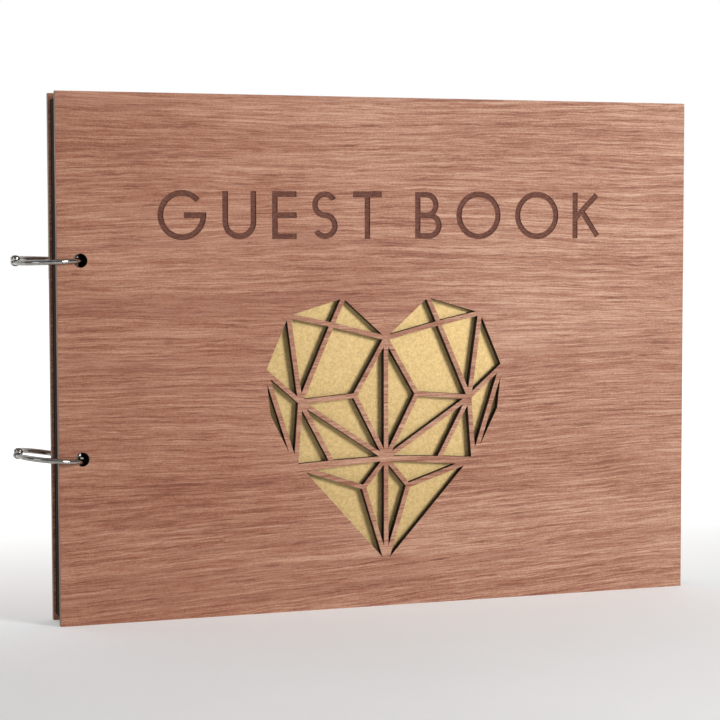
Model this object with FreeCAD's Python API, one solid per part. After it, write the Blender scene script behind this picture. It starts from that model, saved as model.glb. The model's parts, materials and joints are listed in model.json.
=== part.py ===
import FreeCAD, Part
import math
import os

from FreeCAD import Vector

# Landscape guest book, standing upright on its long lower edge.
# +X runs from the spine to the opening edge, +Y from the front cover to the back
# cover, +Z up. The origin is under the middle of the whole book, rings included.

# ---- driving dimensions, in millimetres -------------------------------------
COVER_WIDTH = 280.0
COVER_HEIGHT = 215.0
COVER_THICK = 3.0
STACK_THICK = 18.4

LEAF_COUNT = 20
LEAF_THICK = 0.42
LEAF_SIDE_GAP = 0.05
SHEET_INSET = 2.5
SHEET_SPINE_INSET = 1.0

CARD_THICK = 0.4
CARD_HALF_WIDTH = 62.0
CARD_BOTTOM = 10.0
CARD_TOP = 142.0
BOARD_THICK = 2.6

RING_INNER_DIAMETER = 25.0
WIRE_DIAMETER = 2.2
RING_CENTRE_PAST_SPINE = 1.4
RING_PITCH = 80.0
LOWER_RING_TILT = 8.0
LOWER_RING_LIFT = 0.58
COVER_HOLE_RADIUS = 2.85
COVER_HOLE_FROM_RING = 10.9
BOARD_HOLE_FROM_RING = 12.7
LEAF_HOLE_RADIUS = 3.2
LEAF_HOLE_FROM_RING = 12.85

EYE_RADIUS = 1.9
EYE_THICK = 1.55
EYE_GAP = 0.05
TAB_WIDTH = 2.4
TAB_LENGTH = 3.4
WIRE_END_ANGLE = 10.5
CLOSING_GAP_ANGLE = 0.4
SNAP_PIN_RADIUS = 0.45
SNAP_PIN_LENGTH = 1.6
SNAP_ROOT_LENGTH = 1.0
SNAP_CLEARANCE = 0.05
PIN_RADIUS = 0.6
PIN_CLEARANCE = 0.05
RIVET_HEAD_RADIUS = 1.35
RIVET_HEAD_THICK = 0.45
RIVET_BEVEL_HEIGHT = 0.35
RIVET_FLAT_RADIUS = 0.8

BAR_WIDTH = 2.0
HEART_CENTRE_X = -0.5
ENGRAVE_DEPTH = 0.4
LETTER_STROKE = 2.4
LETTER_HEIGHT = 19.8
LETTER_BOTTOM = 155.8
LETTER_GAP = 6.8
WORD_GAP = 15.0

# ---- places worked out from them ---------------------------------------------
RING_RADIUS = (RING_INNER_DIAMETER + WIRE_DIAMETER) / 2
WIRE_RADIUS = WIRE_DIAMETER / 2
RING_REACH = RING_CENTRE_PAST_SPINE + RING_RADIUS + EYE_RADIUS
SPINE_X = (RING_REACH - COVER_WIDTH) / 2
RING_X = SPINE_X - RING_CENTRE_PAST_SPINE
COVER_MID_X = SPINE_X + COVER_WIDTH / 2
FRONT_Y = -STACK_THICK / 2
CARD_Y = FRONT_Y + COVER_THICK
BOARD_Y = CARD_Y + CARD_THICK
LEAVES_Y = BOARD_Y + BOARD_THICK
BACK_Y = STACK_THICK / 2 - COVER_THICK
LEAF_PITCH = (BACK_Y - LEAVES_Y) / LEAF_COUNT
SHEET_X = SPINE_X + SHEET_SPINE_INSET
SHEET_WIDTH = COVER_WIDTH - SHEET_SPINE_INSET - SHEET_INSET
SHEET_HEIGHT = COVER_HEIGHT - 2 * SHEET_INSET
HOLE_HEIGHTS = [COVER_HEIGHT / 2 - RING_PITCH / 2, COVER_HEIGHT / 2 + RING_PITCH / 2]

Y_AXIS = Vector(0, 1, 0)
Z_AXIS = Vector(0, 0, 1)


# ---- helpers -------------------------------------------------------------------
def drill(shape, centre_x, radius, front, depth):
    """Punch the two ring holes through a sheet."""
    for height in HOLE_HEIGHTS:
        tool = Part.makeCylinder(radius, depth + 2, Vector(centre_x, front - 1, height), Y_AXIS)
        shape = shape.cut(tool)
    return shape


def prism(points, front, depth):
    """A flat outline in X and Z, made solid backwards from the plane y = front."""
    corners = [Vector(x, front, z) for x, z in points]
    face = Part.Face(Part.makePolygon(corners + corners[:1]))
    return face.extrude(Vector(0, depth, 0))


def cover_panel(front):
    """One square-cornered plywood cover with its two ring holes."""
    panel = Part.makeBox(COVER_WIDTH, COVER_THICK, COVER_HEIGHT, Vector(SPINE_X, front, 0))
    return drill(panel, RING_X + COVER_HOLE_FROM_RING, COVER_HOLE_RADIUS, front, COVER_THICK)


def sheet(front, thick, hole_from_ring, hole_radius):
    """One inner sheet, smaller than the covers, with the same two holes."""
    blank = Part.makeBox(SHEET_WIDTH, thick, SHEET_HEIGHT, Vector(SHEET_X, front, SHEET_INSET))
    return drill(blank, RING_X + hole_from_ring, hole_radius, front, thick)


# ---- the fretwork heart ----------------------------------------------------------
# Nodes of the right half, from the heart's centre line and the cover's lower edge.
# The left half is its mirror image. Each window lies between straight bars of one width.
HEART_NODES = {
    "cleft": (0, 114),
    "lobe_top": (19, 131),
    "shoulder": (43, 124),
    "elbow": (53, 101),
    "flank": (51, 83),
    "waist": (40, 61),
    "hip": (37, 60),
    "tip": (0, 19),
    "crossing": (24, 120),
    "hub": (38, 88),
    "knee": (14, 90),
    "middle": (0, 63),
    "ledge": (24, 62),
    "keel": (10, 51),
}
HEART_RIM = ["cleft", "lobe_top", "shoulder", "elbow", "flank", "waist", "hip", "tip"]
HEART_WINDOWS = [
    ["cleft", "lobe_top", "crossing"],
    ["lobe_top", "shoulder", "crossing"],
    ["crossing", "shoulder", "hub"],
    ["cleft", "crossing", "hub", "knee"],
    ["shoulder", "elbow", "hub"],
    ["elbow", "waist", "hub"],
    ["elbow", "flank", "waist"],
    ["cleft", "knee", "middle"],
    ["knee", "hub", "middle"],
    ["hub", "ledge", "middle"],
    ["hub", "waist", "ledge"],
    ["middle", "hip", "keel"],
    ["hip", "tip", "keel"],
    ["middle", "keel", "tip"],
]


def on_rim(name_a, name_b):
    """True when two nodes are neighbours on the heart's outer edge."""
    if name_a not in HEART_RIM or name_b not in HEART_RIM:
        return False
    return abs(HEART_RIM.index(name_a) - HEART_RIM.index(name_b)) == 1


def window_outline(names):
    """The opening left between the bars: every inner side is moved in by half a bar."""
    nodes = [HEART_NODES[name] for name in names]
    count = len(nodes)
    middle = (sum(x for x, z in nodes) / count, sum(z for x, z in nodes) / count)
    sides = []
    for i in range(count):
        ax, az = nodes[i]
        bx, bz = nodes[(i + 1) % count]
        length = math.hypot(bx - ax, bz - az)
        nx, nz = (az - bz) / length, (bx - ax) / length
        if nx * (middle[0] - ax) + nz * (middle[1] - az) < 0:
            nx, nz = -nx, -nz
        inset = 0.0 if on_rim(names[i], names[(i + 1) % count]) else BAR_WIDTH / 2
        sides.append((nx, nz, nx * ax + nz * az + inset))
    corners = []
    for i in range(count):
        a1, b1, c1 = sides[i - 1]
        a2, b2, c2 = sides[i]
        det = a1 * b2 - a2 * b1
        corners.append(((c1 * b2 - c2 * b1) / det, (a1 * c2 - a2 * c1) / det))
    return corners


def heart_windows():
    """All windows of the heart, both halves, as tools that cut through the cover."""
    tools = []
    for names in HEART_WINDOWS:
        outline = window_outline(names)
        for side in (1, -1):
            placed = [(COVER_MID_X + HEART_CENTRE_X + side * x, z) for x, z in outline]
            tools.append(prism(placed, FRONT_Y - 1, COVER_THICK + 2))
    return tools


# ---- the engraved title ------------------------------------------------------------
# Plain capitals drawn with strokes of one width. Each letter gives its strokes from its
# own lower left corner: ("bar", x1, z1, x2, z2) or ("arc", cx, cz, radius, from, to).
HALF_STROKE = LETTER_STROKE / 2
CAP_LINE = LETTER_HEIGHT - HALF_STROKE
MID_LINE = LETTER_HEIGHT / 2
ROUND_RADIUS = LETTER_HEIGHT / 2 + 0.3 - HALF_STROKE
ROUND_WIDTH = 2 * (ROUND_RADIUS + HALF_STROKE)


def letter_g():
    """A nearly closed circle with a short crossbar."""
    cx = ROUND_WIDTH / 2
    arc = ("arc", cx, MID_LINE, ROUND_RADIUS, 42, 360)
    crossbar = ("bar", cx + 0.8, MID_LINE, cx + ROUND_RADIUS + HALF_STROKE, MID_LINE)
    return ROUND_WIDTH, [arc, crossbar]


def letter_u():
    """Two uprights joined by a half circle."""
    width = 14.4
    radius = width / 2 - HALF_STROKE
    left = ("bar", HALF_STROKE, radius + HALF_STROKE, HALF_STROKE, LETTER_HEIGHT)
    right = ("bar", width - HALF_STROKE, radius + HALF_STROKE, width - HALF_STROKE, LETTER_HEIGHT)
    bowl = ("arc", width / 2, radius + HALF_STROKE, radius, 180, 360)
    return width, [left, right, bowl]


def letter_e():
    """An upright with three arms."""
    width = 10.6
    strokes = [("bar", HALF_STROKE, 0, HALF_STROKE, LETTER_HEIGHT)]
    for line in (HALF_STROKE, MID_LINE, CAP_LINE):
        strokes.append(("bar", 0, line, width, line))
    return width, strokes


def letter_s():
    """Two arcs of the same radius, turned against each other."""
    radius = (LETTER_HEIGHT - LETTER_STROKE) / 4
    width = 2 * (radius + HALF_STROKE)
    upper = ("arc", width / 2, MID_LINE + radius, radius, 30, 270)
    lower = ("arc", width / 2, MID_LINE - radius, radius, -150, 90)
    return width, [upper, lower]


def letter_t():
    """An upright under a top bar."""
    width = 12.8
    return width, [("bar", width / 2, 0, width / 2, LETTER_HEIGHT), ("bar", 0, CAP_LINE, width, CAP_LINE)]


def letter_b():
    """An upright with two bowls, the lower one a little wider."""
    upper_width, lower_width = 10.6, 12.0
    strokes = [("bar", HALF_STROKE, 0, HALF_STROKE, LETTER_HEIGHT)]
    for width, low, high in ((upper_width, MID_LINE, CAP_LINE), (lower_width, HALF_STROKE, MID_LINE)):
        radius = (high - low) / 2
        bend = width - HALF_STROKE - radius
        strokes.append(("bar", 0, low, bend, low))
        strokes.append(("bar", 0, high, bend, high))
        strokes.append(("arc", bend, (low + high) / 2, radius, -90, 90))
    return lower_width, strokes


def letter_o():
    """A circle."""
    return ROUND_WIDTH, [("arc", ROUND_WIDTH / 2, MID_LINE, ROUND_RADIUS, 0, 360)]


def letter_k():
    """An upright with two slanting strokes."""
    width = 13.0
    upright = ("bar", HALF_STROKE, 0, HALF_STROKE, LETTER_HEIGHT)
    arm = ("bar", HALF_STROKE, MID_LINE - 1.2, width - 1.6, CAP_LINE + 0.2)
    leg = ("bar", 4.6, MID_LINE + 1.6, width - 1.2, HALF_STROKE - 0.2)
    return width, [upright, arm, leg]


TITLE = [letter_g, letter_u, letter_e, letter_s, letter_t, None, letter_b, letter_o, letter_o, letter_k]


def stroke_tool(stroke, left):
    """One stroke of a letter as a shallow cutting tool in the front face."""
    front = FRONT_Y - 1
    depth = 1 + ENGRAVE_DEPTH
    if stroke[0] == "bar":
        x1, z1, x2, z2 = stroke[1:]
        length = math.hypot(x2 - x1, z2 - z1)
        nx, nz = (z1 - z2) / length * HALF_STROKE, (x2 - x1) / length * HALF_STROKE
        outline = [(x1 + nx, z1 + nz), (x2 + nx, z2 + nz), (x2 - nx, z2 - nz), (x1 - nx, z1 - nz)]
        return prism([(left + x, LETTER_BOTTOM + z) for x, z in outline], front, depth)
    cx, cz, radius, start, stop = stroke[1:]
    centre = Vector(left + cx, front, LETTER_BOTTOM + cz)
    outer = Part.makeCylinder(radius + HALF_STROKE, depth, centre, Y_AXIS, stop - start)
    inner = Part.makeCylinder(radius - HALF_STROKE, depth, centre, Y_AXIS)
    band = outer.cut(inner)
    # a cylinder along +Y starts its sweep at +Z and turns towards +X
    band.rotate(centre, Y_AXIS, 90 - stop)
    return band


def title_tools():
    """Cutting tools for the whole line, centred on the cover."""
    letters = [letter() if letter else None for letter in TITLE]
    length = 0.0
    for i, letter in enumerate(letters):
        if letter:
            length += letter[0]
            if i + 1 < len(letters) and letters[i + 1]:
                length += LETTER_GAP
        else:
            length += WORD_GAP
    left = COVER_MID_X - length / 2
    tools = []
    for i, letter in enumerate(letters):
        if not letter:
            left += WORD_GAP
            continue
        width, strokes = letter
        pieces = [stroke_tool(stroke, left) for stroke in strokes]
        tools.append(pieces[0].multiFuse(pieces[1:]) if len(pieces) > 1 else pieces[0])
        left += width
        if i + 1 < len(letters) and letters[i + 1]:
            left += LETTER_GAP
    return tools


# ---- binder rings ------------------------------------------------------------------
# Each ring is two wire halves. They overlap as flat eyes on a rivet outside the spine, and
# snap shut inside the holes: a pin on the front half's end sits in a socket in the back
# half's end. Drawn flat about the ring's own centre first.
LEAN = math.degrees(math.atan((EYE_THICK / 2 + EYE_GAP) / (2 * RING_RADIUS)))


def wire_arc(start, stop):
    """A length of ring wire from one ring angle to another."""
    arc = Part.makeTorus(RING_RADIUS, WIRE_RADIUS, Vector(), Z_AXIS, -180, 180, stop - start)
    arc.rotate(Vector(), Z_AXIS, start)
    return arc


def ring_half(side):
    """Half a ring: side +1 is the back half, -1 the front half."""
    if side > 0:
        wire = wire_arc(CLOSING_GAP_ANGLE / 2, 180 - WIRE_END_ANGLE)
    else:
        wire = wire_arc(WIRE_END_ANGLE - 180, -CLOSING_GAP_ANGLE / 2)
    wire.rotate(Vector(RING_RADIUS, 0, 0), Y_AXIS, side * LEAN)
    eye_bottom = EYE_GAP if side > 0 else -EYE_GAP - EYE_THICK
    eye = Part.makeCylinder(EYE_RADIUS, EYE_THICK, Vector(-RING_RADIUS, 0, eye_bottom), Z_AXIS)
    tab_front = 0 if side > 0 else -TAB_LENGTH
    tab_corner = Vector(-RING_RADIUS - TAB_WIDTH / 2, tab_front, eye_bottom)
    tab = Part.makeBox(TAB_WIDTH, TAB_LENGTH, EYE_THICK, tab_corner)
    half = wire.multiFuse([eye, tab])
    hole_radius = PIN_RADIUS if side > 0 else PIN_RADIUS + PIN_CLEARANCE
    hole = Part.makeCylinder(hole_radius, 6, Vector(-RING_RADIUS, 0, -3), Z_AXIS)
    half = half.cut(hole)
    if side > 0:
        socket_depth = SNAP_PIN_LENGTH + SNAP_CLEARANCE
        socket_start = Vector(RING_RADIUS, -1, 0)
        socket = Part.makeCylinder(SNAP_PIN_RADIUS + SNAP_CLEARANCE, socket_depth + 1, socket_start, Y_AXIS)
        return half.cut(socket)
    pin_start = Vector(RING_RADIUS, -SNAP_ROOT_LENGTH, 0)
    pin = Part.makeCylinder(SNAP_PIN_RADIUS, SNAP_ROOT_LENGTH + SNAP_PIN_LENGTH, pin_start, Y_AXIS)
    return half.fuse(pin)


def rivet():
    """The pin through both eyes, with a bevelled head at each end."""
    reach = EYE_GAP + EYE_THICK
    pin = Part.makeCylinder(PIN_RADIUS, 2 * reach, Vector(0, 0, -reach), Z_AXIS)
    heads = []
    for end in (1, -1):
        upwards = Vector(0, 0, end)
        disc = Part.makeCylinder(RIVET_HEAD_RADIUS, RIVET_HEAD_THICK, Vector(0, 0, end * reach), upwards)
        bevel_base = Vector(0, 0, end * (reach + RIVET_HEAD_THICK))
        bevel = Part.makeCone(RIVET_HEAD_RADIUS, RIVET_FLAT_RADIUS, RIVET_BEVEL_HEIGHT, bevel_base, upwards)
        heads += [disc, bevel]
    pin = pin.multiFuse(heads)
    pin.translate(Vector(-RING_RADIUS, 0, 0))
    return pin


def place_ring(shape, hole_height, tilt, lift):
    """Tip a flat ring part about Y, outer end up, and carry it to its holes."""
    shape.rotate(Vector(), Y_AXIS, tilt)
    shape.translate(Vector(RING_X, 0, hole_height + lift))
    return shape


# ---- the pieces ----------------------------------------------------------------------
def front_cover():
    """The laser-cut front cover: heart windows right through, title engraved."""
    cover = cover_panel(FRONT_Y)
    for tool in heart_windows() + title_tools():
        cover = cover.cut(tool)
    return cover


def gold_card():
    """The card glued behind the heart."""
    corner = Vector(COVER_MID_X + HEART_CENTRE_X - CARD_HALF_WIDTH, CARD_Y, CARD_BOTTOM)
    return Part.makeBox(2 * CARD_HALF_WIDTH, CARD_THICK, CARD_TOP - CARD_BOTTOM, corner)


pieces = {
    "front_cover": front_cover(),
    "gold_card": gold_card(),
    "backing_board": sheet(BOARD_Y, BOARD_THICK, BOARD_HOLE_FROM_RING, COVER_HOLE_RADIUS),
    "back_cover": cover_panel(BACK_Y),
}
for number in range(1, LEAF_COUNT + 1):
    leaf_front = LEAVES_Y + (number - 1) * LEAF_PITCH + LEAF_SIDE_GAP / 2
    leaf = sheet(leaf_front, LEAF_THICK, LEAF_HOLE_FROM_RING, LEAF_HOLE_RADIUS)
    pieces["leaf_%02d" % number] = leaf
for ring_name, height, tilt, lift in (
    ("upper_ring", HOLE_HEIGHTS[1], 0.0, 0.0),
    ("lower_ring", HOLE_HEIGHTS[0], LOWER_RING_TILT, LOWER_RING_LIFT),
):
    pieces[ring_name + "_front_half"] = place_ring(ring_half(-1), height, tilt, lift)
    pieces[ring_name + "_back_half"] = place_ring(ring_half(1), height, tilt, lift)
    pieces[ring_name + "_rivet"] = place_ring(rivet(), height, tilt, lift)

os.makedirs("parts", exist_ok=True)
for name, shape in pieces.items():
    if not shape.isValid() or len(shape.Solids) != 1:
        raise ValueError("%s is not one sound solid" % name)
    shape.Solids[0].exportStep("parts/%s.step" % name)
    box = shape.BoundBox
    print("%-22s %8.2f mm3  x %.2f..%.2f  y %.2f..%.2f  z %.2f..%.2f" % (
        name, shape.Volume, box.XMin, box.XMax, box.YMin, box.YMax, box.ZMin, box.ZMax))
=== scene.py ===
# %% [markdown]
# # A guest book on two binder rings
# The book stands on its long lower edge. Two plywood covers hold a stack of dark card
# leaves, and a faceted heart is cut through the front cover over gold card. The packed
# model gives every size and place, so this script only adds surfaces and finer meshes.

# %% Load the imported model
import json
import math
import random

import bmesh
import bpy
from mathutils import Matrix, Vector


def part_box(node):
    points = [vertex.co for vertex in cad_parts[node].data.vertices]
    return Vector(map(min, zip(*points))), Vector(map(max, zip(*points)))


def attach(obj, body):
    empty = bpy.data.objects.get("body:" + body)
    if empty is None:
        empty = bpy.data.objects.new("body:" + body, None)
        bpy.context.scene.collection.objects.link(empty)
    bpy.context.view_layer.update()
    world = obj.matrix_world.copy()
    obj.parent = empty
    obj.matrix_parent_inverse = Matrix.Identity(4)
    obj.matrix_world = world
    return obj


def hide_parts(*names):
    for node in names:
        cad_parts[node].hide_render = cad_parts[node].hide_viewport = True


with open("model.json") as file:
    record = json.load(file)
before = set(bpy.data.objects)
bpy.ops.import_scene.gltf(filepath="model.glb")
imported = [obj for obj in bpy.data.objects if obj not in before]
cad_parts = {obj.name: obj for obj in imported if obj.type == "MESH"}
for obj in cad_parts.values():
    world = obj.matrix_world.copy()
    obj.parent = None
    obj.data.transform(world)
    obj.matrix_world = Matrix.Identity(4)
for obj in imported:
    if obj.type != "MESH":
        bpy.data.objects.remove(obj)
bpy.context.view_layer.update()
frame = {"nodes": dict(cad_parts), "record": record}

MM = 0.001
nodes = frame["nodes"]
bodies = frame["record"]["behaviour"]["bodies"]
body_of_node = {node: body for body, members in bodies.items() for node in members}
joints = {joint["name"]: joint for joint in frame["record"]["behaviour"]["joints"]}
cover_low, cover_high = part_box("front_cover")
back_low, back_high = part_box("back_cover")
leaf_names = sorted(name for name in nodes if name.startswith("leaf_"))

# %% [markdown]
# ## The camera
# The book is seen a little from its spine side, from just above the middle. The camera is
# placed by its direction and distance from the middle of the front cover. A long lens
# keeps the perspective mild.

# %% Camera
AZIMUTH = math.radians(-19.242)
ELEVATION = math.radians(3.642)
ROLL = math.radians(-0.12)
EYE_FROM_COVER = Vector((-290.9, -807.79, 158.81)) * MM
LENS = 100.74

backwards = Vector((math.sin(AZIMUTH) * math.cos(ELEVATION),
                    -math.cos(AZIMUTH) * math.cos(ELEVATION),
                    math.sin(ELEVATION)))
camera = bpy.data.objects.new("camera", bpy.data.cameras.new("camera"))
bpy.context.scene.collection.objects.link(camera)
bpy.context.scene.camera = camera
camera.data.lens = LENS
camera.data.clip_start = 0.05
turn = (-backwards).to_track_quat("-Z", "Y").to_matrix().to_4x4() @ Matrix.Rotation(ROLL, 4, "Z")
cover_mid_x = (cover_low.x + cover_high.x) / 2
camera.matrix_world = Matrix.Translation(EYE_FROM_COVER + Vector((cover_mid_x, 0, 0))) @ turn
eye = camera.matrix_world.translation
print("camera is", round((eye - cover_low).length, 3), "m from the spine")

# %% [markdown]
# ## Floor and light
# A pale floor, one soft window to the right for the main light, and a weak light on the
# left. The room is bright above and behind the book and dark in front of it. That dark side
# is what a polished ring mirrors as the dark line along its wire. Seen directly, the room
# is plain white.

# %% Floor, lights and world
LIGHT_SPREAD = math.radians(80)


def soft_light(name, place, target, size, watts):
    """A square area light that looks at a point."""
    lamp = bpy.data.lights.new(name, "AREA")
    lamp.shape = "SQUARE"
    lamp.size = size
    lamp.energy = watts
    lamp.spread = LIGHT_SPREAD
    obj = bpy.data.objects.new(name, lamp)
    bpy.context.scene.collection.objects.link(obj)
    look = (Vector(target) - Vector(place)).to_track_quat("-Z", "Y")
    obj.matrix_world = Matrix.Translation(Vector(place)) @ look.to_matrix().to_4x4()


soft_light("key_window", place=(0.56, -0.80, 0.33), target=(0.02, 0, 0.1), size=0.32, watts=1.66)
soft_light("left_fill", place=(-1.1, -0.7, 0.35), target=(-0.1, 0, 0.1), size=0.5, watts=0.22)

world = bpy.data.worlds.new("studio")
bpy.context.scene.world = world
world.use_nodes = True
sky = world.node_tree
sky.nodes.clear()


def sky_node(kind, settings, inputs):
    """One world node. A value is either a plain number or another node's first output."""
    made = sky.nodes.new("ShaderNode" + kind)
    for key, value in settings.items():
        setattr(made, key, value)
    for key, value in inputs.items():
        if isinstance(value, bpy.types.NodeSocket):
            sky.links.new(value, made.inputs[key])
        else:
            made.inputs[key].default_value = value
    return made


SKY_FRONT = 0.06
SKY_ABOVE = 0.30
SKY_BEHIND = 0.75
direction = sky_node("SeparateXYZ", {}, {0: sky_node("TexCoord", {}, {}).outputs["Generated"]})
above = sky_node("MapRange", {"interpolation_type": "SMOOTHSTEP"},
                 {"Value": direction.outputs["Z"], "From Min": 0.25, "From Max": 0.8,
                  "To Min": SKY_FRONT, "To Max": SKY_ABOVE})
behind = sky_node("MapRange", {"interpolation_type": "SMOOTHSTEP"},
                  {"Value": direction.outputs["Y"], "From Min": -0.1, "From Max": 0.5,
                   "To Min": SKY_FRONT, "To Max": SKY_BEHIND})
brightness = sky_node("Math", {"operation": "MAXIMUM"}, {0: above.outputs[0], 1: behind.outputs[0]})
seen_directly = sky_node("LightPath", {}, {}).outputs["Is Camera Ray"]
seen = sky_node("Math", {"operation": "MAXIMUM"}, {0: brightness.outputs[0], 1: seen_directly})
sky_light = sky_node("Background", {}, {"Color": (1.0, 1.0, 1.0, 1.0), "Strength": seen.outputs[0]})
sky_node("OutputWorld", {}, {"Surface": sky_light.outputs[0]})
bpy.context.scene.view_settings.view_transform = "Standard"

FLOOR_SIZE = 12.0
floor_mesh = bpy.data.meshes.new("floor")
corner = FLOOR_SIZE / 2
floor_corners = [(-corner, -corner, 0), (corner, -corner, 0), (corner, corner, 0), (-corner, corner, 0)]
floor_mesh.from_pydata(floor_corners, [], [(0, 1, 2, 3)])
floor = bpy.data.objects.new("floor", floor_mesh)
bpy.context.scene.collection.objects.link(floor)

# %% [markdown]
# ## Writing shader maths as plain arithmetic
# A wood grain is a sum of stretched noises. Wiring dozens of Math nodes by hand is hard to
# read, so `Wire` wraps one socket and lets Python's own operators add the nodes. Every
# other node comes from `Finish.node`, which takes its type, its settings and its inputs.

# %% Wire and Finish
class Wire:
    """A socket that can be added, multiplied and compared like a number."""

    def __init__(self, finish, socket):
        self.finish = finish
        self.socket = socket

    def out(self, name):
        """Another output of the same node."""
        return Wire(self.finish, self.socket.node.outputs[name])

    def maths(self, operation, *others):
        return self.finish.node("Math", {"operation": operation}, dict(enumerate((self,) + others)))

    def __add__(self, other):
        return self.maths("ADD", other)

    def __radd__(self, other):
        return self.maths("ADD", other)

    def __mul__(self, other):
        return self.maths("MULTIPLY", other)

    def __rmul__(self, other):
        return self.maths("MULTIPLY", other)

    def __sub__(self, other):
        return self.maths("SUBTRACT", other)

    def __rsub__(self, other):
        return self.finish.node("Math", {"operation": "SUBTRACT"}, {0: other, 1: self})

    def __truediv__(self, other):
        return self.maths("DIVIDE", other)

    def __abs__(self):
        return self.maths("ABSOLUTE")

    def between(self, low, high):
        """0 below low, 1 above high, with a soft step from one to the other."""
        return self.finish.node("MapRange", {"interpolation_type": "SMOOTHSTEP"},
                                {"Value": self, "From Min": low, "From Max": high})


class Finish:
    """One material under construction."""

    def __init__(self, name):
        self.material = bpy.data.materials.new(name)
        self.material.use_nodes = True
        self.tree = self.material.node_tree
        self.tree.nodes.clear()
        self.place = self.node("TexCoord").out("Object")
        apart = self.node("SeparateXYZ", {}, {0: self.place})
        self.x = apart.out("X") * (1 / MM)
        self.y = apart.out("Y") * (1 / MM)
        self.z = apart.out("Z") * (1 / MM)

    def node(self, kind, settings=None, inputs=None):
        made = self.tree.nodes.new("ShaderNode" + kind)
        for key, value in (settings or {}).items():
            if key == "stops":
                while len(made.color_ramp.elements) < len(value):
                    made.color_ramp.elements.new(1.0)
                for element, (where, colour) in zip(made.color_ramp.elements, value):
                    element.position = where
                    element.color = (*colour, 1.0)
            else:
                setattr(made, key, value)
        for key, value in (inputs or {}).items():
            socket = made.inputs[key]
            if isinstance(value, Wire):
                self.tree.links.new(value.socket, socket)
            elif isinstance(value, tuple) and len(value) == 3 and socket.type == "RGBA":
                socket.default_value = (*value, 1.0)
            else:
                socket.default_value = value
        return Wire(self, made.outputs[0]) if made.outputs else None

    def point(self, x, y, z):
        """A place for a pattern, from three numbers or wires."""
        return self.node("CombineXYZ", {}, {0: x, 1: y, 2: z})

    def noise(self, where, detail=2.0, rough=0.5, scale=1.0):
        return self.node("TexNoise", {}, {"Vector": where, "Scale": scale, "Detail": detail,
                                          "Roughness": rough})

    def ramp(self, value, stops):
        return self.node("ValToRGB", {"stops": stops}, {0: value})

    def mix(self, factor, below, above, blend="MIX"):
        made = self.node("Mix", {"data_type": "RGBA", "blend_type": blend},
                         {0: factor, 6: below, 7: above})
        return Wire(self, made.socket.node.outputs[2])

    def facing_y(self):
        """1 on surfaces that face the front or the back, 0 on cut edges."""
        normal = self.place.out("Normal")
        return abs(self.node("SeparateXYZ", {}, {0: normal}).out("Y")).between(0.80, 0.92)

    def bump(self, height, strength, depth):
        return self.node("Bump", {}, {"Height": height, "Strength": strength, "Distance": depth})

    def surface(self, **inputs):
        """Ends the material in one Principled shader. Underscores stand for spaces."""
        named = {key.replace("_", " "): value for key, value in inputs.items()}
        shader = self.node("BsdfPrincipled", {}, named)
        self.node("OutputMaterial", {}, {"Surface": shader})
        return self.material


def fade(finish, low, high, factor):
    """A number that runs from low to high as factor runs from 0 to 1."""
    return factor * (high - low) + low


# %% [markdown]
# ## The floor's finish
# Matt paper with the faintest mottling. It also glows with a painted light of its own, faint near
# the book and almost white away from it, so that no horizon line shows. It isn't part of the object.

# %% Floor finish
floor_finish = Finish("floor_paper")
floor_tone = floor_finish.ramp(floor_finish.noise(floor_finish.place, 3.0, 0.5, 9.0),
                               [(0.3, (0.79, 0.79, 0.79)), (0.7, (0.82, 0.82, 0.82))])
away = floor_finish.node("VectorMath", {"operation": "LENGTH"}, {0: floor_finish.place}).out("Value")
glow = floor_finish.node("Math", {"operation": "MAXIMUM"},
                         {0: floor_finish.y.between(-150.0, 450.0), 1: away.between(0.4, 1.5)})
# Painted glow: the floor gives off light, faint near the book and almost white far from it.
painted_floor_glow = floor_finish.ramp(glow, [(0.0, (0.18, 0.18, 0.18)), (1.0, (0.85, 0.85, 0.85))])
floor_mesh.materials.append(floor_finish.surface(
    Base_Color=floor_tone, Roughness=0.9, Emission_Color=painted_floor_glow, Emission_Strength=1.0,
    Specular_IOR_Level=0.1))
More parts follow.
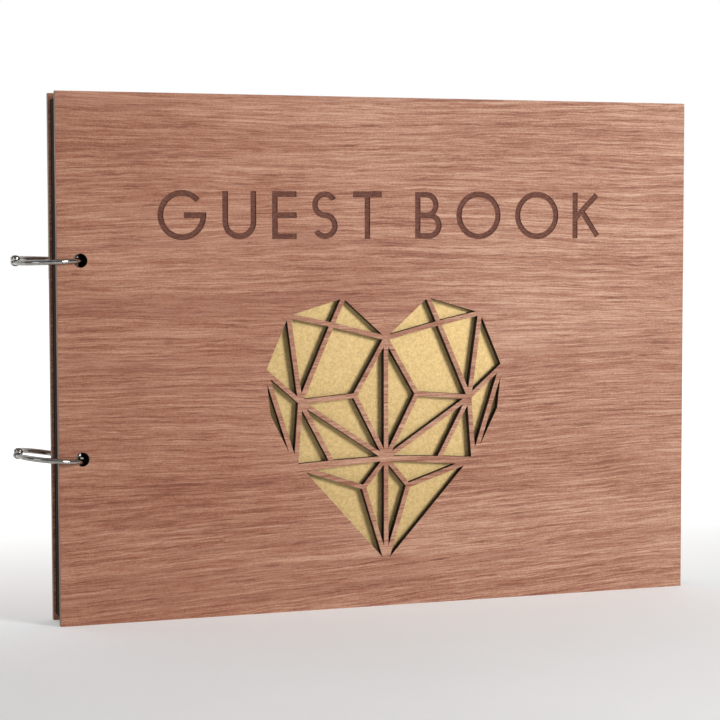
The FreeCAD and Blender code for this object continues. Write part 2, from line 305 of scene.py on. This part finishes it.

# %% [markdown]
# ## Wood of the covers
# The covers are thin plywood faced with a reddish tropical veneer, sanded and left matt.
# Its look is made of layers that all run along the length: broad bands, streaks a few
# millimetres tall, fine fibres, and short dark pores. Each is a noise stretched along X.
# A slow sideways drift bends them all together, as real grain does.
#
# A laser cut the outline, the heart and the ring holes, so every cut wall is scorched. The walls
# in the heart and the ring holes are near black, partly that scorch and partly painted shade; the
# outline's walls are a paler grey-brown with a dark line at the face. The depth below the face
# and the direction of the surface tell face, engraving and wall apart.

# %% Grain helper
def veneer(finish, lean):
    """Colour and height of the face veneer. lean tilts the grain in the lower part."""
    x, y, z = finish.x, finish.y, finish.z
    side = y * 0.7
    drift = finish.noise(finish.point(x * 0.006, side, z * 0.02), 2.0, 0.5)
    ripple = finish.noise(finish.point(x * 0.07, side, z * 0.14), 3.0, 0.6)
    level = z + drift * 9.0 + ripple * 1.5 - x * z.between(100.0, 20.0) * lean
    band = finish.noise(finish.point(x * 0.003, side, level * 0.05), 2.0, 0.5)
    streak = finish.noise(finish.point(x * 0.006, side, level * 0.30), 2.0, 0.5)
    line = finish.noise(finish.point(x * 0.026, side, level * 1.15), 2.0, 0.6)
    fine = finish.noise(finish.point(x * 0.09, side, level * 2.6), 3.0, 0.7)
    pore = finish.noise(finish.point(x * 0.13, side, level * 2.6), 1.0, 0.5)
    grit = finish.noise(finish.point(x * 1.5, side, z * 1.9), 2.0, 0.6)
    cloud = finish.noise(finish.point(x * 0.012, side, z * 0.022), 2.0, 0.5)
    contour = finish.noise(finish.point(x * 0.016, side + 5.0, level * 0.42), 3.0, 0.55)
    vein = abs(contour - 0.5).between(0.035, 0.0)
    tone = (band * 0.14 + streak * 0.09 + line * 0.42 + fine * 0.54 + grit * 0.26
            + cloud * 0.18 - 0.30)
    colour = finish.ramp(tone, [
        (0.30, (0.195, 0.064, 0.034)),
        (0.42, (0.300, 0.112, 0.064)),
        (0.50, (0.390, 0.176, 0.107)),
        (0.58, (0.480, 0.250, 0.160)),
        (0.70, (0.600, 0.360, 0.250)),
    ])
    # Painted sheen: the colour is darkened towards the left and lifted and yellowed towards the right,
    # where the key light's sheen falls.
    pale = finish.mix(x.between(-80.0, 70.0), (0.90, 0.83, 0.80), (1.0, 1.06, 1.08))
    colour = finish.mix(1.0, colour, pale, "MULTIPLY")
    heart_red = level.between(127.0, 131.0) * level.between(142.0, 136.0) * x.between(90.0, -50.0)
    red = streak.between(0.50, 0.68) * band.between(0.44, 0.60)
    colour = finish.mix(red * 0.32 + heart_red * streak * 0.55, colour, (0.245, 0.078, 0.048))
    colour = finish.mix(vein * 0.38, colour, (0.225, 0.070, 0.042))
    dark_pores = pore.between(0.42, 0.32) * line.between(0.60, 0.42)
    colour = finish.mix(dark_pores * 0.55, colour, (0.140, 0.046, 0.028))
    height = fine * 0.6 + line * 0.6 + grit * 0.25 - dark_pores * 0.9
    return colour, height


RASTER_PITCH = 0.36


def cut_plywood(name, lean):
    """Veneer on the faces, scorched plies on the walls, brown in the engraving. The walls inside the
    heart and the ring holes are near black, partly as painted shade.
    """
    finish = Finish(name)
    face_colour, face_height = veneer(finish, lean)
    inner = back_low.y / MM
    thick = (back_high.y - back_low.y) / MM
    depth = (abs(finish.y) - inner) / thick
    facing = finish.facing_y()
    outside = depth.between(0.955, 0.975) + depth.between(0.045, 0.025)
    face = facing * outside
    x, y, z = finish.x, finish.y, finish.z
    raster = finish.node("Math", {"operation": "SINE"}, {0: z * (2 * math.pi / RASTER_PITCH)})
    along = finish.noise(finish.point(x * 0.5, y * 0.2, z * 2.4), 3.0, 0.6)
    engraved = finish.ramp(along + raster * 0.06, [
        (0.30, (0.080, 0.028, 0.019)),
        (0.50, (0.135, 0.051, 0.035)),
        (0.72, (0.205, 0.088, 0.060)),
    ])
    pulses = finish.noise(finish.point(x * 2.6, y * 0.25, z * 2.6), 2.0, 0.6)
    plies = finish.noise(finish.point(x * 0.05, depth * 7.0, z * 0.05), 1.0, 0.5)
    # Near-black scorch. On the walls inside the heart's windows and the ring holes this near-black is
    # partly painted shade.
    char_and_painted_shade = finish.ramp(pulses * 0.5 + plies * 0.5, [
        (0.30, (0.010, 0.006, 0.004)),
        (0.52, (0.028, 0.015, 0.010)),
        (0.70, (0.075, 0.042, 0.027)),
    ])
    core = finish.ramp(pulses, [(0.3, (0.040, 0.023, 0.015)), (0.7, (0.120, 0.074, 0.050))])
    middle_ply = depth.between(0.22, 0.30) * depth.between(0.78, 0.70)
    wall = finish.mix(middle_ply * 0.45, char_and_painted_shade, core)
    half_x = (cover_high.x - cover_low.x) / 2 / MM
    half_z = (cover_high.z - cover_low.z) / 2 / MM
    rim_x = abs(x - (cover_high.x + cover_low.x) / 2 / MM).between(half_x - 0.6, half_x - 0.4)
    rim_z = abs(z - half_z).between(half_z - 0.6, half_z - 0.4)
    rim = finish.node("Math", {"operation": "MAXIMUM"}, {0: rim_x, 1: rim_z})
    # The outline's walls get a paler grey-brown than the walls in the heart and holes, whose near-black
    # is partly painted shade; a dark scorched line stays at the face.
    paler_outline_wall = finish.ramp(pulses * 0.4 + plies * 0.6, [
        (0.30, (0.170, 0.120, 0.090)),
        (0.50, (0.305, 0.225, 0.175)),
        (0.70, (0.430, 0.335, 0.270)),
    ])
    burnt_side = depth.between(0.88, 0.97)
    wall = finish.mix(rim * (1 - burnt_side * 0.85), wall, paler_outline_wall)
    cut = finish.mix(facing, wall, engraved)
    colour = finish.mix(face, cut, face_colour)
    rough = fade(finish, 0.88, 0.60, face)
    height = face_height * face + (raster * 0.12 + along * 0.5) * (1 - face)
    return finish.surface(Base_Color=colour, Roughness=rough, Specular_IOR_Level=0.32,
                          Normal=finish.bump(height, 0.28, 0.00012))


cover_wood = cut_plywood("cover_plywood", 0.05)

# %% [markdown]
# ## The covers
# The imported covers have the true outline, the heart's windows, the engraving and the
# holes, but perfectly sharp edges. Real sanded edges are broken by about a tenth of a
# millimetre, and that is what catches the light. So each cover is a copy of the packed
# mesh: its loose triangles are merged, its flat faces joined up again, and every sharp
# edge gets a small bevel.

# %% Cover helper
SAME_CORNER = 0.002 * MM


def broken_edges(node, name, width):
    """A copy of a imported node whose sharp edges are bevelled."""
    mesh = nodes[node].data.copy()
    mesh.name = name
    shape = bmesh.new()
    shape.from_mesh(mesh)
    bmesh.ops.remove_doubles(shape, verts=shape.verts, dist=SAME_CORNER)
    bmesh.ops.dissolve_limit(shape, angle_limit=math.radians(0.4), verts=shape.verts,
                             edges=shape.edges)
    sharp = [edge for edge in shape.edges
             if edge.is_manifold and edge.calc_face_angle(0.0) > math.radians(35)]
    bmesh.ops.bevel(shape, geom=sharp, offset=width, segments=2, profile=0.6, affect="EDGES",
                    clamp_overlap=True)
    bmesh.ops.triangulate(shape, faces=[face for face in shape.faces if len(face.verts) > 4])
    shape.to_mesh(mesh)
    shape.free()
    mesh.materials.clear()
    mesh.polygons.foreach_set("use_smooth", [True] * len(mesh.polygons))
    mesh.set_sharp_from_angle(angle=math.radians(18))
    obj = bpy.data.objects.new(name, mesh)
    bpy.context.scene.collection.objects.link(obj)
    return obj


def dress(obj, node, material):
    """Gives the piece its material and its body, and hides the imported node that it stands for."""
    obj.data.materials.append(material)
    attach(obj, body_of_node[node])
    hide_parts(node)
    print(obj.name, len(obj.data.polygons), "faces")


# %% Front and back cover
EDGE_BREAK = 0.10 * MM
for cover in ("front_cover", "back_cover"):
    panel = broken_edges(cover, cover + "_plywood", EDGE_BREAK)
    dress(panel, cover, cover_wood)

# %% [markdown]
# ## Gold card and grey board
# The card behind the heart has a fine metallic coating: partly mirror, partly pigment, with
# a paper tooth that sparkles. The board behind it is pressed from waste paper, so it is
# grey-brown with darker flecks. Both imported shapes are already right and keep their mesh.

# %% Gold card finish
def gold_finish():
    finish = Finish("gold_card")
    tooth = finish.noise(finish.place, 3.0, 0.7, 1500.0)
    speck = finish.noise(finish.place, 1.0, 0.5, 900.0)
    colour = finish.ramp(tooth * 0.6 + speck * 0.4, [
        (0.32, (0.415, 0.285, 0.115)),
        (0.50, (0.520, 0.370, 0.158)),
        (0.68, (0.625, 0.458, 0.218)),
    ])
    return finish.surface(Base_Color=colour, Metallic=0.55, Roughness=fade(finish, 0.46, 0.62, tooth),
                          Normal=finish.bump(tooth, 0.22, 0.00006))


nodes["gold_card"].data.materials.clear()
nodes["gold_card"].data.materials.append(gold_finish())


# %% Grey board finish
def board_finish():
    finish = Finish("grey_board")
    pulp = finish.noise(finish.place, 4.0, 0.7, 420.0)
    layers = finish.noise(finish.point(finish.x * 0.04, finish.y * 3.5, finish.z * 0.04), 2.0, 0.6)
    fleck = finish.noise(finish.place, 1.0, 0.5, 900.0).between(0.36, 0.30)
    colour = finish.ramp(pulp * 0.55 + layers * 0.45, [
        (0.30, (0.120, 0.088, 0.070)),
        (0.52, (0.215, 0.165, 0.135)),
        (0.72, (0.310, 0.250, 0.210)),
    ])
    colour = finish.mix(fleck * 0.7, colour, (0.055, 0.040, 0.032))
    return finish.surface(Base_Color=colour, Roughness=0.9, Specular_IOR_Level=0.2,
                          Normal=finish.bump(pulp, 0.35, 0.0001))


nodes["backing_board"].data.materials.clear()
nodes["backing_board"].data.materials.append(board_finish())

# %% [markdown]
# ## The leaves
# Twenty sheets of heavy dark card, all punched with the same tool. A sheet is a rectangle
# with two round holes, given a thickness, so one Geometry Nodes tree with named sizes makes
# them all. Guillotined sheets never lie perfectly flush, so each gets its own width and
# height, up to half a millimetre smaller, and the edge of the stack looks like paper.

# %% A small helper for node trees
def tree_with(name, sizes):
    """An empty Geometry Nodes tree with named number inputs and a material input."""
    tree = bpy.data.node_groups.new(name, "GeometryNodeTree")
    for size in sizes:
        tree.interface.new_socket(size, in_out="INPUT", socket_type="NodeSocketFloat")
    tree.interface.new_socket("Material", in_out="INPUT", socket_type="NodeSocketMaterial")
    tree.interface.new_socket("Geometry", in_out="OUTPUT", socket_type="NodeSocketGeometry")
    given = tree.nodes.new("NodeGroupInput")

    def add(kind, settings=None, inputs=None):
        made = tree.nodes.new(kind)
        for key, value in (settings or {}).items():
            setattr(made, key, value)
        for key, value in (inputs or {}).items():
            if isinstance(value, bpy.types.NodeSocket):
                tree.links.new(value, made.inputs[key])
            else:
                made.inputs[key].default_value = value
        return made

    return tree, given.outputs, add


def finish_tree(tree, add, given, geometry):
    """Realize Instances, then Set Material, then the output."""
    real = add("GeometryNodeRealizeInstances", {}, {"Geometry": geometry})
    painted = add("GeometryNodeSetMaterial", {}, {"Geometry": real.outputs[0],
                                                  "Material": given["Material"]})
    end = add("NodeGroupOutput")
    tree.links.new(painted.outputs[0], end.inputs[0])


def grow(name, tree, values):
    """Runs a tree with its named inputs set, and returns the result as a plain mesh object."""
    seed = bpy.data.objects.new(name, bpy.data.meshes.new(name + "_seed"))
    bpy.context.scene.collection.objects.link(seed)
    modifier = seed.modifiers.new("grow", "NODES")
    modifier.node_group = tree
    identifiers = {item.name: item.identifier for item in tree.interface.items_tree
                   if item.in_out == "INPUT"}
    for key, value in values.items():
        modifier[identifiers[key]] = value
    depsgraph = bpy.context.evaluated_depsgraph_get()
    mesh = bpy.data.meshes.new_from_object(seed.evaluated_get(depsgraph))
    mesh.name = name
    seed.modifiers.remove(modifier)
    seed.data = mesh
    return seed


# %% The punched sheet tree
sheet_tree, given, add = tree_with("punched_sheet", [
    "Width", "Height", "Thickness", "Hole radius", "Hole x", "Lower hole", "Upper hole",
    "Centre x", "Front y", "Centre z"])
outline = add("GeometryNodeCurvePrimitiveQuadrilateral", {}, {"Width": given["Width"],
                                                              "Height": given["Height"]})
join = add("GeometryNodeJoinGeometry")
tree_link = sheet_tree.links.new
for hole in ("Lower hole", "Upper hole"):
    circle = add("GeometryNodeCurvePrimitiveCircle", {}, {"Resolution": 40,
                                                          "Radius": given["Hole radius"]})
    where = add("ShaderNodeCombineXYZ", {}, {"X": given["Hole x"], "Y": given[hole]})
    punch = add("GeometryNodeTransform", {}, {"Geometry": circle.outputs[0],
                                              "Translation": where.outputs[0]})
    tree_link(punch.outputs[0], join.inputs[0])
tree_link(outline.outputs[0], join.inputs[0])
flat = add("GeometryNodeFillCurve", {}, {0: join.outputs[0]})
thick = add("GeometryNodeExtrudeMesh", {}, {"Mesh": flat.outputs[0], "Individual": False,
                                            "Offset Scale": given["Thickness"]})
under = add("GeometryNodeFlipFaces", {}, {0: flat.outputs[0]})
shell = add("GeometryNodeJoinGeometry")
tree_link(under.outputs[0], shell.inputs[0])
tree_link(thick.outputs[0], shell.inputs[0])
closed = add("GeometryNodeMergeByDistance", {}, {"Geometry": shell.outputs[0], "Distance": 1e-6})
spot = add("ShaderNodeCombineXYZ", {}, {"X": given["Centre x"], "Y": given["Front y"],
                                        "Z": given["Centre z"]})
upright = add("GeometryNodeTransform", {}, {"Geometry": closed.outputs[0],
                                            "Translation": spot.outputs[0],
                                            "Rotation": (math.pi / 2, 0.0, 0.0)})
finish_tree(sheet_tree, add, given, upright.outputs[0])


# %% Leaf finish
def leaf_finish():
    """Dark brown-black card: felted faces, and cut edges that show pale fibre ends."""
    finish = Finish("leaf_card")
    felt = finish.noise(finish.place, 4.0, 0.7, 900.0)
    cloud = finish.noise(finish.place, 2.0, 0.5, 60.0)
    face = finish.ramp(felt * 0.6 + cloud * 0.4, [
        (0.3, (0.018, 0.011, 0.009)),
        (0.7, (0.045, 0.029, 0.025)),
    ])
    each = finish.noise(finish.point(finish.x * 0.01, finish.y * 1.7, finish.z * 0.01), 1.0, 0.5)
    fibre = finish.noise(finish.point(finish.x * 3.0, finish.y * 6.0, finish.z * 3.0), 2.0, 0.6)
    edge = finish.ramp(each * 0.6 + fibre * 0.4, [
        (0.34, (0.026, 0.013, 0.010)),
        (0.52, (0.056, 0.030, 0.024)),
        (0.68, (0.105, 0.064, 0.050)),
    ])
    colour = finish.mix(finish.facing_y(), edge, face)
    return finish.surface(Base_Color=colour, Roughness=0.86, Specular_IOR_Level=0.25,
                          Normal=finish.bump(felt, 0.30, 0.00006))


# %% Grow the leaves
random.seed(7)
UNEVEN = 0.22 * MM
HOLE_RADIUS = 3.2 * MM
HOLE_FROM_RING = 12.85 * MM
leaf_card = leaf_finish()
upper_ring_spot = Vector(joints["upper_ring_turn"]["pos_m"])
ring_x = upper_ring_spot.x
hole_mid = (cover_low.z + cover_high.z) / 2
hole_up = upper_ring_spot.z - hole_mid
for name in leaf_names:
    low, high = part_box(name)
    width = high.x - low.x - random.uniform(0, 2) * UNEVEN
    height = high.z - low.z - random.uniform(0, 2) * UNEVEN
    centre_x = (low.x + high.x) / 2 + random.uniform(-1, 1) * UNEVEN
    leaf = grow(name + "_card", sheet_tree, {
        "Width": width, "Height": height, "Thickness": high.y - low.y,
        "Hole radius": HOLE_RADIUS, "Hole x": ring_x + HOLE_FROM_RING - centre_x,
        "Lower hole": -hole_up, "Upper hole": hole_up,
        "Centre x": centre_x, "Front y": high.y, "Centre z": hole_mid, "Material": leaf_card,
    })
    leaf.data.materials.clear()
    dress(leaf, name, leaf_card)

# %% [markdown]
# ## The binder rings
# Each ring is two halves of nickel-plated spring wire. The wire is a circle swept along an
# arc, which is what Curve to Mesh does. Towards the hinge the press has flattened it, so a
# short step in Python squashes the last few millimetres into a tongue, and a punched eye
# closes it. The two halves lean apart so that one eye lies on the other, and a rivet with
# a domed head goes through both.

# %% The ring wire tree
wire_tree, given, add = tree_with("ring_wire", ["Ring radius", "Wire radius", "Start", "Sweep"])
arc = add("GeometryNodeCurveArc", {"mode": "RADIUS"}, {"Resolution": 150,
                                                       "Radius": given["Ring radius"],
                                                       "Start Angle": given["Start"],
                                                       "Sweep Angle": given["Sweep"]})
section = add("GeometryNodeCurvePrimitiveCircle", {}, {"Resolution": 28,
                                                       "Radius": given["Wire radius"]})
swept = add("GeometryNodeCurveToMesh", {}, {"Curve": arc.outputs[0], "Fill Caps": True,
                                            "Profile Curve": section.outputs[0]})
finish_tree(wire_tree, add, given, swept.outputs[0])


# %% Turned shapes
def lathe(shape, profile, centre, closed, steps=40):
    """Turns a profile of (radius, height) points about a vertical axis, into a bmesh."""
    rings = []
    for radius, height in profile:
        if radius < 1e-9:
            rings.append([shape.verts.new(centre + Vector((0, 0, height)))])
            continue
        turns = [2 * math.pi * i / steps for i in range(steps)]
        circle = [Vector((radius * math.cos(a), radius * math.sin(a), height)) for a in turns]
        rings.append([shape.verts.new(centre + point) for point in circle])
    pairs = list(zip(rings, rings[1:])) + ([(rings[-1], rings[0])] if closed else [])
    for a, b in pairs:
        for i in range(steps):
            j = (i + 1) % steps
            corners = [a[i % len(a)], a[j % len(a)], b[j % len(b)], b[i % len(b)]]
            unique = list(dict.fromkeys(corners))
            if len(unique) > 2:
                shape.faces.new(unique)


def rounded_slab(inner, outer, bottom, top, edge):
    """Profile of a flat washer with rounded outer corners."""
    points = [(inner, bottom), (outer - edge, bottom)]
    for i in range(1, 4):
        a = math.radians(-90 + 30 * i)
        points.append((outer - edge + edge * math.cos(a), bottom + edge + edge * math.sin(a)))
    for i in range(0, 4):
        a = math.radians(30 * i)
        points.append((outer - edge + edge * math.cos(a), top - edge + edge * math.sin(a)))
    points.append((inner, top))
    return points


# %% Ring halves and rivets
WIRE_RADIUS = 1.1 * MM
EYE_RADIUS = 1.9 * MM
EYE_THICK = 1.55 * MM
EYE_GAP = 0.05 * MM
EYE_EDGE = 0.3 * MM
TONGUE_TO_EYE = 1.4 * MM
PIN_RADIUS = 0.6 * MM
FLAT_START = 7.0 * MM
FLAT_FULL = 2.8 * MM
CLOSING_GAP = math.radians(0.4)


def ring_half(name, ring_radius, side):
    """Half a ring about the origin, flat: side +1 is the back half, -1 the front half."""
    tongue_end = TONGUE_TO_EYE / ring_radius
    start = CLOSING_GAP / 2 if side > 0 else tongue_end - math.pi
    sweep = math.pi - tongue_end - CLOSING_GAP / 2
    half = grow(name, wire_tree, {"Ring radius": ring_radius, "Wire radius": WIRE_RADIUS,
                                  "Start": start, "Sweep": sweep, "Material": ring_steel})
    shape = bmesh.new()
    shape.from_mesh(half.data)
    lean = (EYE_THICK / 2 + EYE_GAP) / (2 * ring_radius)
    flat_height = EYE_THICK / 2 * 0.97
    for vertex in shape.verts:
        angle = math.atan2(vertex.co.y, vertex.co.x)
        from_rivet = (math.pi - abs(angle)) * ring_radius
        press = min(1.0, max(0.0, (FLAT_START - from_rivet) / (FLAT_START - FLAT_FULL)))
        press = press * press * (3 - 2 * press)
        offset = math.hypot(vertex.co.x, vertex.co.y) - ring_radius
        wide = ring_radius + offset * (1 + 0.20 * press)
        limit = WIRE_RADIUS + (flat_height - WIRE_RADIUS) * press
        height = vertex.co.z * (1 - 0.12 * press)
        height = max(-limit, min(limit, height))
        rise = side * lean * (ring_radius - wide * math.cos(angle))
        vertex.co = Vector((wide * math.cos(angle), wide * math.sin(angle), height + rise))
    bottom = EYE_GAP if side > 0 else -EYE_GAP - EYE_THICK
    profile = rounded_slab(PIN_RADIUS, EYE_RADIUS, bottom, bottom + EYE_THICK, EYE_EDGE)
    lathe(shape, profile, Vector((-ring_radius, 0, 0)), closed=True)
    bmesh.ops.recalc_face_normals(shape, faces=shape.faces)
    shape.to_mesh(half.data)
    shape.free()
    return half


HEAD_RADIUS = 1.35 * MM
HEAD_SEAT = 1.3 * MM
HEAD_RIM = 0.12 * MM
HEAD_DOME = 0.52 * MM
FLARE_LOW = 0.62 * MM


def rivet(name, ring_radius):
    """The hinge pin: a domed head above, a flared end below."""
    reach = EYE_GAP + EYE_THICK
    profile = [
        (0, -reach - FLARE_LOW),
        (0.55 * MM, -reach - FLARE_LOW),
        (0.75 * MM, -reach - 0.5 * MM),
        (HEAD_SEAT, -reach - 0.25 * MM),
        (HEAD_RADIUS, -reach - HEAD_RIM),
        (HEAD_SEAT, -reach),
        (PIN_RADIUS, -reach),
        (PIN_RADIUS, reach),
        (HEAD_SEAT, reach),
        (HEAD_RADIUS, reach + HEAD_RIM),
    ]
    for i in range(1, 7):
        a = math.radians(15 * i)
        profile.append((HEAD_RADIUS * math.cos(a), reach + HEAD_RIM + HEAD_DOME * math.sin(a)))
    profile[-1] = (0, profile[-1][1])
    shape = bmesh.new()
    lathe(shape, profile, Vector((-ring_radius, 0, 0)), closed=False)
    bmesh.ops.recalc_face_normals(shape, faces=shape.faces)
    mesh = bpy.data.meshes.new(name)
    shape.to_mesh(mesh)
    shape.free()
    obj = bpy.data.objects.new(name, mesh)
    bpy.context.scene.collection.objects.link(obj)
    return obj


# %% [markdown]
# ### Ring steel
# Bright nickel plating shows its surroundings and little else. Fine rubbing marks and a few
# cloudy patches break up the mirror, so that it reads as cheap plated wire. The rivet is
# turned over cold after plating, which leaves it darker and duller.

# %% Ring finish
def metal(name, dark, light, smooth, dull):
    """A metal whose haze varies between a smooth and a dull roughness."""
    finish = Finish(name)
    haze = finish.noise(finish.place, 3.0, 0.6, 700.0)
    rub = finish.noise(finish.place, 2.0, 0.5, 3500.0)
    return finish.surface(Base_Color=finish.ramp(haze, [(0.35, dark), (0.65, light)]), Metallic=1.0,
                          Roughness=fade(finish, smooth, dull, haze),
                          Normal=finish.bump(rub, 0.05, 0.00002))


ring_steel = metal("ring_nickel", (0.31, 0.295, 0.275), (0.47, 0.455, 0.43), 0.04, 0.17)
rivet_steel = metal("rivet_steel", (0.13, 0.115, 0.10), (0.24, 0.215, 0.19), 0.18, 0.38)


# %% Place both rings
def settle(obj, place):
    """Moves a piece's mesh to its place and smooths it, leaving the object at the origin."""
    obj.data.transform(place)
    obj.data.materials.clear()
    obj.data.polygons.foreach_set("use_smooth", [True] * len(obj.data.polygons))
    obj.data.set_sharp_from_angle(angle=math.radians(35))


for ring in ("upper_ring", "lower_ring"):
    centre = Vector(joints[ring + "_turn"]["pos_m"])
    low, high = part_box(ring + "_rivet")
    hinge = (low + high) / 2 - centre
    radius = math.hypot(hinge.x, hinge.z)
    tilt = math.atan2(hinge.z, -hinge.x)
    place = Matrix.Translation(centre) @ Matrix.Rotation(tilt, 4, "Y")
    print(ring, "radius", round(radius / MM, 2), "mm")
    print(ring, "tilt", round(math.degrees(tilt), 1), "degrees")
    made = {
        "_front_half": ring_half(ring + "_front_wire", radius, -1),
        "_back_half": ring_half(ring + "_back_wire", radius, 1),
        "_rivet": rivet(ring + "_hinge_rivet", radius),
    }
    for part, obj in made.items():
        settle(obj, place)
        dress(obj, ring + part, rivet_steel if part == "_rivet" else ring_steel)
